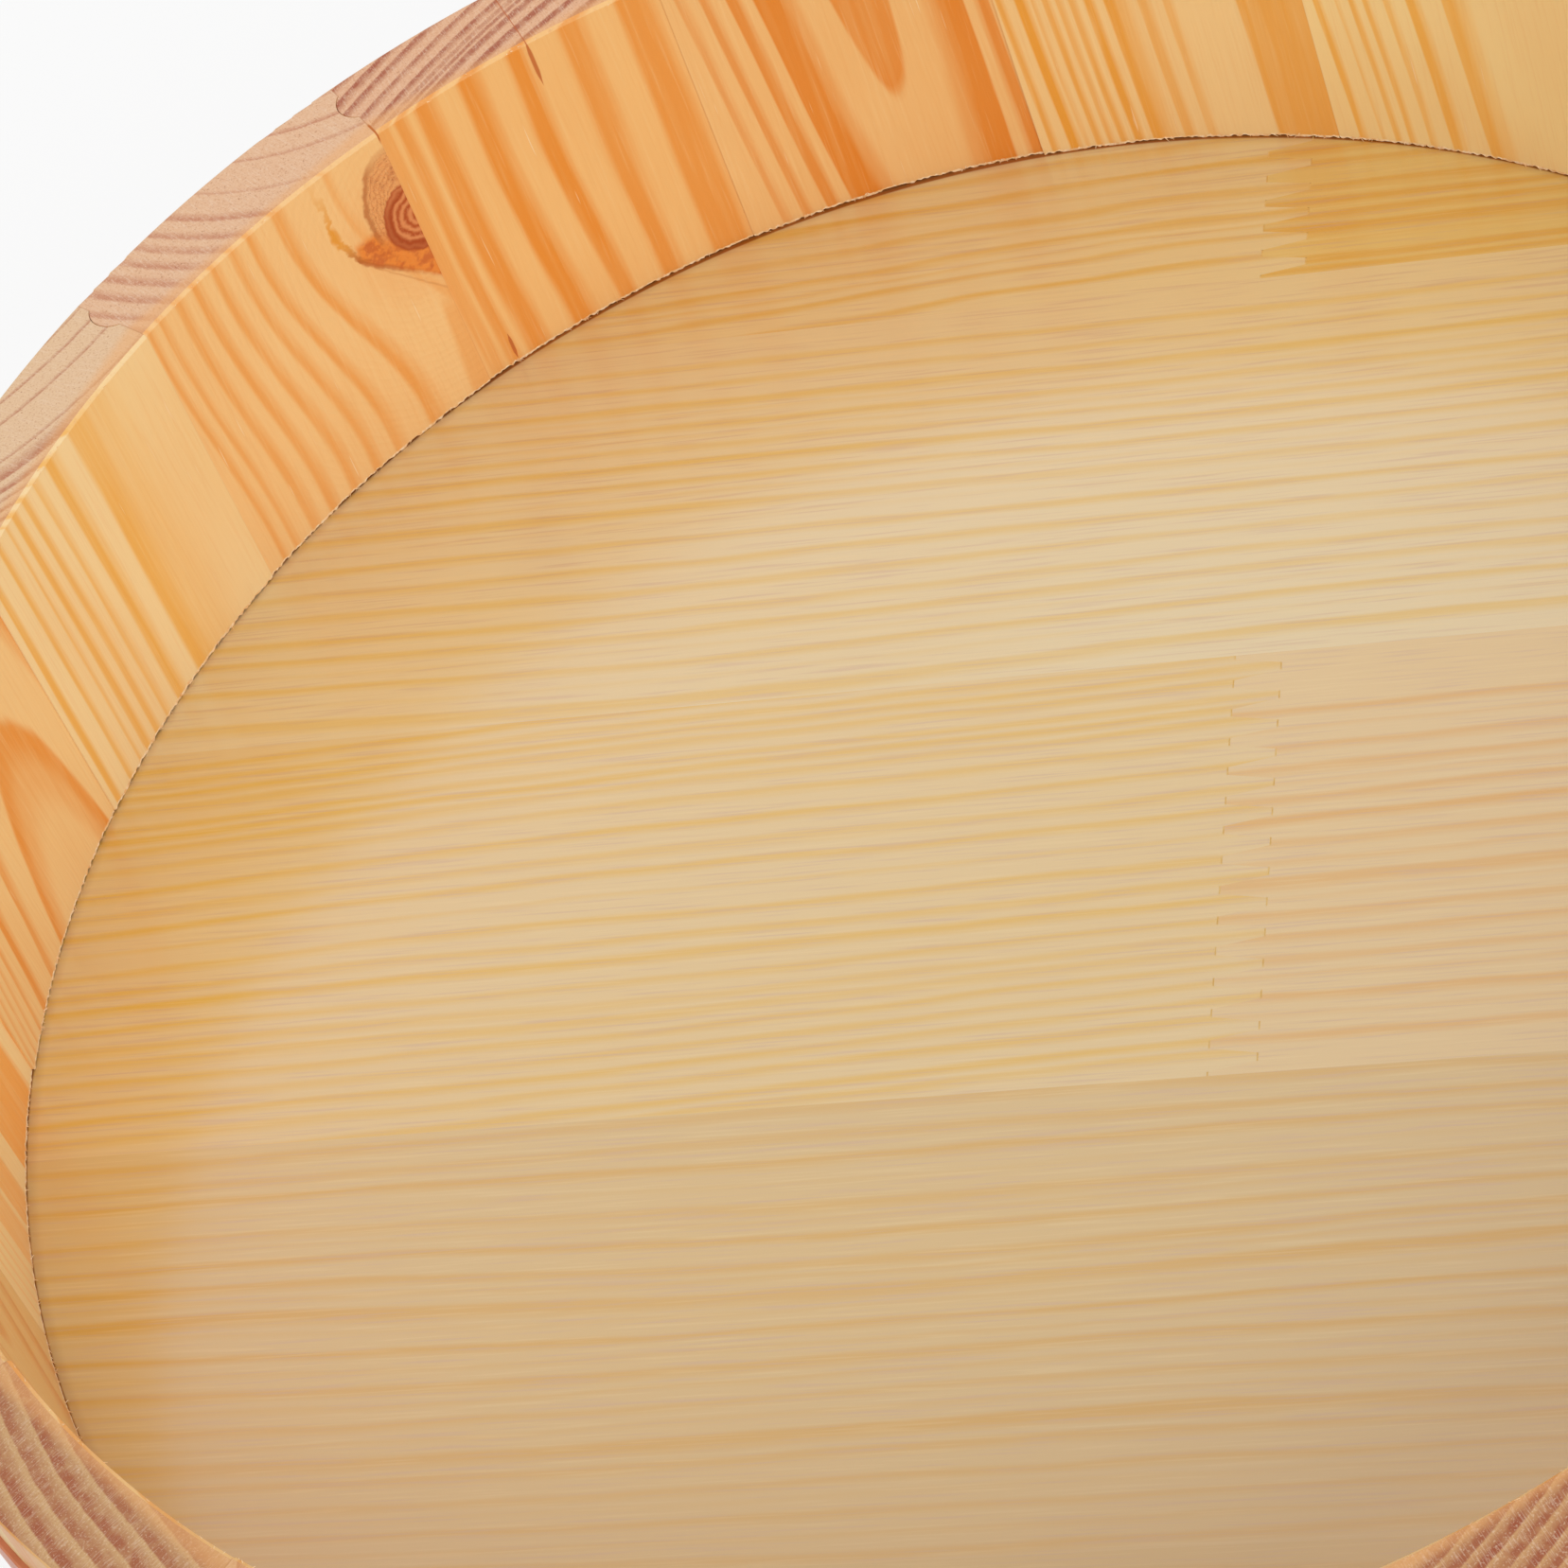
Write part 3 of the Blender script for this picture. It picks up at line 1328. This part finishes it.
@dataclass
class TornEdges:
    """The ragged lower edge of the staves above the floor, and splinters there and along the rim.

    Attributes:
        columns: Points along the ragged edge of one stave.
        lip_top: Height of the lip's upper edge.
        least_gap: Least height between the lip and the floor.
        thick: Thickness of the lip.
        joint: Degrees between two lips.
        tear: Mean depth of the tears, and how much long and short waves change it.
        splinters: Splinters of one stave at the floor.
        fibres: Fibres of one stave at the rim.
        edge: Radius of the rim's inner edge, which the fibres stand on.
        sunk: How deep a fibre's root sits in it.
        seed: Seed of the splinters and fibres.
        wood: Raw fibres that the cutter left standing, paler than the face.
    """

    columns: int = 190
    lip_top: float = 26.72
    least_gap: float = 0.03
    thick: float = 0.14
    joint: float = 0.06
    tear: Triple = (0.19, 0.34, 0.5)
    splinters: int = 26
    fibres: int = 16
    edge: float = 0.5
    sunk: float = 0.03
    seed: int = 77
    wood: DullFinish = DullFinish("torn_pine", (255, 228, 186), (242, 194, 132), 1500.0, 0.3, 0.7)

    def bore(self, number: int) -> float:
        """Returns the bore radius of one stave, which its drying has shifted."""
        return BORE + DRYING_STEP * math.sin(math.radians(DRYING_TURN * (number - 1)))

    def lip(self, number: int) -> Shape:
        """Builds the torn lip of one stave, which hangs over the gap above the floor.

        Args:
            number: The stave's number from 1.

        Returns:
            The lip as a closed strip.
        """
        shape = bmesh.new()
        bmesh.ops.create_grid(shape, x_segments=self.columns, y_segments=2, size=0.5)
        middle, radius = stave_middle(number), self.bore(number)
        mean, far, near = self.tear
        deepest = WALL_FOOT - FLOOR_TOP - self.least_gap
        for vert in shape.verts:
            run, rise = vert.co.x + 0.5, vert.co.y + 0.5
            angle = math.radians(middle + (run - 0.5) * (STAVE_ANGLE - self.joint))
            long = noise.noise(Vector((run * 14.0, number * 9.1, 0.0)))
            short = noise.noise(Vector((run * 62.0, number * 5.3, 4.0)))
            foot = WALL_FOOT - min(max(mean + far * long + near * short, 0.0), deepest)
            head = self.lip_top + 0.22 * noise.noise(Vector((run * 90.0, number * 3.1, 8.0)))
            out = radius + 0.03 - 0.12 * (1.0 - rise) ** 2
            vert.co = around(out, angle, foot + (head - foot) * rise) * MM
        bmesh.ops.recalc_face_normals(shape, faces=shape.faces)
        bmesh.ops.solidify(shape, geom=shape.faces[:], thickness=self.thick * MM)
        bmesh.ops.recalc_face_normals(shape, faces=shape.faces)
        return shape

    def splinter(self, shape: Shape, root: Vector, tip: Vector, width: float) -> None:
        """Adds one splinter, a thin pyramid from root to tip.

        Args:
            shape: The bmesh that it goes into.
            root: Its thick end in millimetres.
            tip: Its point in millimetres.
            width: Its width at the root in millimetres.
        """
        along = (tip - root) * MM
        turn = along.to_track_quat("Z", "Y").to_matrix().to_4x4()
        place = Matrix.Translation((root * MM) + along / 2) @ turn
        bmesh.ops.create_cone(
            shape, cap_ends=True, segments=4, radius1=width / 2 * MM, radius2=width / 9 * MM,
            depth=along.length, matrix=place,
        )

    def foot_splinters(self, draw: random.Random) -> Shape:
        """Builds the splinters that hang from the lower edge of the wall.

        Args:
            draw: The draw that both kinds of splinter share.

        Returns:
            All of them.
        """
        shape = bmesh.new()
        for number in range(1, STAVES + 1):
            middle, radius = stave_middle(number), self.bore(number)
            for _ in range(self.splinters):
                angle = math.radians(middle + draw.uniform(-8.7, 8.7))
                end = angle + math.radians(draw.uniform(-0.35, 0.35))
                root = around(radius, angle, draw.uniform(26.3, 26.7))
                reach = radius - draw.uniform(0.1, 0.65)
                tip = around(reach, end, draw.uniform(26.08, 26.5))
                self.splinter(shape, root, tip, draw.uniform(0.1, 0.26))
        return shape

    def rim_fibres(self, draw: random.Random) -> Shape:
        """Builds the short fibres that stand along the inner edge of the rim.

        Args:
            draw: The draw that both kinds of splinter share.

        Returns:
            All of them.
        """
        shape = bmesh.new()
        for number in range(1, STAVES + 1):
            middle, radius = stave_middle(number), self.bore(number)
            for _ in range(self.fibres):
                angle = math.radians(middle + draw.uniform(-8.8, 8.8))
                end = angle + math.radians(draw.uniform(-0.3, 0.3))
                share = draw.uniform(0.0, 1.0)
                out = radius + self.edge * share
                root = around(out, angle, RIM - self.edge + self.edge * share - self.sunk)
                reach = out - draw.uniform(0.05, 0.35)
                tip = around(reach, end, min(root.z + draw.uniform(-0.2, 0.25), RIM - 0.05))
                self.splinter(shape, root, tip, draw.uniform(0.1, 0.22))
        return shape

    def build(self) -> None:
        """Builds the lips, the splinters and the fibres in torn wood."""
        torn, tree, shader, fibres = self.wood.build()
        tree.wire(shader, Roughness=0.8, Normal=tree.bump(fibres, 0.3))
        for number in range(1, STAVES + 1):
            new_piece(f"torn_lip_{number:02d}", self.lip(number), torn)
        draw = random.Random(self.seed)
        new_piece("foot_splinters", self.foot_splinters(draw), torn)
        new_piece("rim_fibres", self.rim_fibres(draw), torn)
        LOG.info("torn edges: %d lips, splinters and rim fibres", STAVES)


@dataclass
class FingerGlue:
    """Glue that fills the gaps at the tips of the floor's finger joints.

    Attributes:
        offset: Place of the joints' middle to the right of the tub's middle.
        length: Length of a finger.
        gap: Gap at a finger's tip.
        tip: Half the width of the glue at a tip.
        pitch: Wanted distance between two fingers.
        bottom: Height of the glue's lower end.
        sunk: Depth of its upper end under the floor's top.
        reach: Radius that it ends within, a little inside the floor's edge.
        strips: Name and front and back edge of each jointed strip.
        glue: Dried glue with wood dust in it, about as pale as the board.
    """

    offset: float = 28.0
    length: float = 7.0
    gap: float = 0.2
    tip: float = 0.7
    pitch: float = 5.2
    bottom: float = 14.1
    sunk: float = 0.015
    reach: float = BORE + 3.7 - 1.2
    strips: tuple[tuple[str, float, float], ...] = (
        ("finger_glue_3", -27.3, 45.7), ("finger_glue_5", 118.6, 165.0),
    )
    glue: DullFinish = DullFinish("finger_glue", (226, 190, 118), (216, 174, 96), 900.0, 0.35, 0.65)

    def plate(self, shape: Shape, right: float, front: float, back: float) -> None:
        """Adds the glue at one finger's tip, through the board's thickness.

        Args:
            shape: The bmesh that it goes into.
            right: Place of its middle along the board.
            front: Its front edge.
            back: Its back edge.
        """
        made = bmesh.ops.create_cube(shape, size=1.0)["verts"]
        low, high = self.bottom, FLOOR_TOP - self.sunk
        bmesh.ops.scale(shape, vec=Vector((self.gap, back - front, high - low)) * MM, verts=made)
        middle = Vector((right, (front + back) / 2, (low + high) / 2)) * MM
        bmesh.ops.translate(shape, vec=middle, verts=made)

    def build(self) -> None:
        """Builds the glue of both joints."""
        finish, tree, shader, cloud = self.glue.build()
        tree.wire(shader, Roughness=tree.scaled(cloud, 0.2, 0.35))
        for name, front, back in self.strips:
            shape = bmesh.new()
            count = round((back - front) / self.pitch)
            pitch = (back - front) / count
            for index in range(2 * count + 1):
                place = front + index * pitch / 2
                right = self.offset + (self.length - self.gap) / 2 * (1 if index % 2 else -1)
                low, high = max(place - self.tip, front), min(place + self.tip, back)
                if math.hypot(right + self.gap, high) < self.reach:
                    self.plate(shape, right, low, high)
            new_piece(name, shape, finish)
        LOG.info("floor: glue of %d finger joints", len(self.strips))


@dataclass(frozen=True)
class CopperFinish:
    """Copper that has been wiped and has begun to darken."""

    bright: Colour = (226, 150, 112)
    dark: Colour = (176, 102, 70)
    rough: float = 0.3

    def build(self, name: str) -> Material:
        """Builds the copper.

        Args:
            name: The material's name.

        Returns:
            The material.
        """
        finish, tree, shader = new_finish(name)
        place = tree.place()
        right, back, up = tree.parts(place)
        run = tree.times(tree.math("ARCTAN2", back, right), HOOP_FACE)
        along = tree.fill(tree.add("CombineXYZ"), run, tree.times(up, MM_PER_METRE), 0.0)
        brushed = tree.noise(along, (0.05, 3.0, 1.0), detail=3.0, rough=0.6)
        cloud = tree.noise(place, (28.0, 28.0, 60.0), detail=4.0, rough=0.6)
        spots = tree.noise(place, (260.0, 260.0, 260.0), detail=2.0)
        tarnish = tree.step(cloud, 0.3, 0.8)
        colour = tree.tint(tree.mix(tarnish, self.bright, self.dark), (116, 62, 44), spots, 0.64, 0.76, 0.55)
        rough = tree.scaled(tarnish, 0.16, tree.scaled(brushed, 0.16, self.rough - 0.08))
        relief = tree.scaled(brushed, 0.01, tree.times(cloud, 0.12))
        tree.wire(shader, Base_Color=colour, Metallic=1.0, Roughness=rough, Normal=tree.bump(relief))
        return finish


@dataclass
class CopperHoops:
    """The two hoops and the rivets of their laps."""

    band: CopperFinish = CopperFinish()
    rivet: CopperFinish = CopperFinish((218, 142, 104), rough=0.36)

    def build(self, nodes: dict[str, Piece]) -> None:
        """Dresses the hoops and the rivets.

        Args:
            nodes: The CAD nodes by name.
        """
        band, rivet = self.band.build("copper_hoop"), self.rivet.build("copper_rivet")
        for name, piece in nodes.items():
            if "hoop" in name:
                paint(piece, rivet if "rivet" in name else band)
        LOG.info("copper: hoops and rivets dressed")


@dataclass(frozen=True)
class Shot:
    """The camera, solved from the tub's circles in the photograph, in bore radii.

    Attributes:
        turn: Azimuth of the photograph's viewing direction in the row frame.
        aim: Point on the floor that the camera looks at, in the camera's own frame.
        distance: Distance from that point.
        elevation: Angle above the floor.
        roll: Turn of the picture.
        lens: Focal length on the sensor.
        sensor: Width of the sensor in millimetres.
    """

    turn: float = 24.2
    aim: tuple[float, float] = (-0.167605, 0.290483)
    distance: float = 5.45245
    elevation: float = 48.6989
    roll: float = -23.7087
    lens: float = 130.69
    sensor: float = 36.0

    def build(self) -> None:
        """Creates the camera and makes it the scene's."""
        rise, roll = math.radians(self.elevation), math.radians(self.roll)
        back = Vector((0.0, -math.cos(rise), math.sin(rise)))
        right, up = Vector((1.0, 0.0, 0.0)), Vector((0.0, math.sin(rise), math.cos(rise)))
        across = math.cos(roll) * right + math.sin(roll) * up
        upward = -math.sin(roll) * right + math.cos(roll) * up
        place = (Vector((*self.aim, 0.0)) + self.distance * back) * BORE * MM
        turn = Matrix.Rotation(math.radians(self.turn), 3, "Z")
        axes = turn @ Matrix((across, upward, back)).transposed()
        data = bpy.data.cameras.new("camera")
        data.lens, data.sensor_width = self.lens, self.sensor
        data.clip_start, data.clip_end = 0.05, 20.0
        stand = Matrix.Translation(turn @ place + Vector((0.0, 0.0, FLOOR_TOP * MM)))
        camera = placed("camera", data)
        camera.matrix_world = stand @ axes.to_4x4()
        bpy.context.scene.camera = camera
        LOG.info("camera: %.1f mm lens", self.lens)


@dataclass(frozen=True)
class Lamp:
    """A square soft lamp that faces the tub.

    Attributes:
        name: The lamp's name.
        azimuth: Its direction in the row frame.
        elevation: Its height as an angle.
        distance: Its distance in metres.
        size: Its width in metres.
        power: Its power in watts.
    """

    name: str
    azimuth: float
    elevation: float
    distance: float
    size: float
    power: float

    def build(self) -> None:
        """Hangs the lamp, unseen by the camera and in reflections."""
        data = bpy.data.lights.new(self.name, "AREA")
        data.energy, data.size = self.power, self.size
        lamp = placed(self.name, data)
        rise = math.radians(self.elevation)
        away = around(math.cos(rise), math.radians(self.azimuth), math.sin(rise))
        lamp.location = away * self.distance + Vector((0.0, 0.0, FLOOR_TOP * MM))
        lamp.rotation_euler = away.to_track_quat("Z", "Y").to_euler()
        lamp.visible_camera = lamp.visible_glossy = False


@dataclass(frozen=True)
class Studio:
    """A white sweep under soft light.

    Attributes:
        sky: Strength of the even light from all round.
        paper: How white the sweep is.
        glow: How far the sweep is lifted to white where it is seen directly.
        reach: Half the sweep's width in metres.
        lamps: The soft lamps: one behind and above, one low in front.
    """

    sky: float = 0.55
    paper: float = 0.92
    glow: float = 0.84
    reach: float = 6.0
    lamps: tuple[Lamp, ...] = (
        Lamp("behind", 124.0, 55.0, 0.55, 0.45, 0.6),
        Lamp("front", 309.0, 28.0, 1.2, 0.8, 7.0),
    )

    def world(self) -> None:
        """Lights the tub evenly, and is white to the camera and in reflections."""
        world = bpy.data.worlds.new("studio")
        bpy.context.scene.world = world
        tree = bare_tree(world)
        strength = tree.scaled(seen_directly(tree), 1.0 - self.sky, self.sky)
        shade = tree.wire(tree.add("Background"), Color=(1.0,) * 4, Strength=strength)
        tree.wire(tree.add("OutputWorld"), Surface=shade.outputs[0])

    def ground(self) -> None:
        """Lays the sweep that the tub stands on."""
        shape = bmesh.new()
        bmesh.ops.create_grid(shape, x_segments=1, y_segments=1, size=self.reach)
        ground = meshed("ground", shape)
        finish = bpy.data.materials.new("white_sweep")
        tree = bare_tree(finish)
        paper = tree.wire(tree.add("BsdfDiffuse"), Color=(*(self.paper,) * 3, 1.0))
        glow = tree.wire(tree.add("Emission"), Strength=1.0)
        share = tree.times(seen_directly(tree), self.glow)
        mixed = tree.fill(tree.add("MixShader"), share, paper.outputs[0], glow.outputs[0])
        tree.wire(tree.add("OutputMaterial"), Surface=mixed)
        paint(ground, finish)

    def build(self) -> None:
        """Builds the light and the ground."""
        self.world()
        for lamp in self.lamps:
            lamp.build()
        self.ground()
        bpy.context.scene.view_settings.view_transform = "Standard"
        LOG.info("studio: sky %.2f and %d lamps", self.sky, len(self.lamps))


def seen_directly(tree: Tree) -> Socket:
    """Finds the rays that come from the camera and in reflections and glass.

    Args:
        tree: The tree that asks.

    Returns:
        1 for these rays, and 0 for the others.
    """
    path = tree.add("LightPath")
    seen = tree.plus(path.outputs["Is Camera Ray"], path.outputs["Is Glossy Ray"])
    return tree.math("ADD", seen, path.outputs["Is Transmission Ray"], clamp=True)


def main() -> None:
    """Loads the frame, builds the camera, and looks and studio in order."""
    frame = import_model()
    Shot().build()
    StaveWall(WoodEffects()).build(frame["nodes"])
    FloorBoards().build(frame["nodes"])
    FingerGlue().build()
    TornEdges().build()
    CopperHoops().build(frame["nodes"])
    Studio().build()


if __name__ == "__main__":
    main()
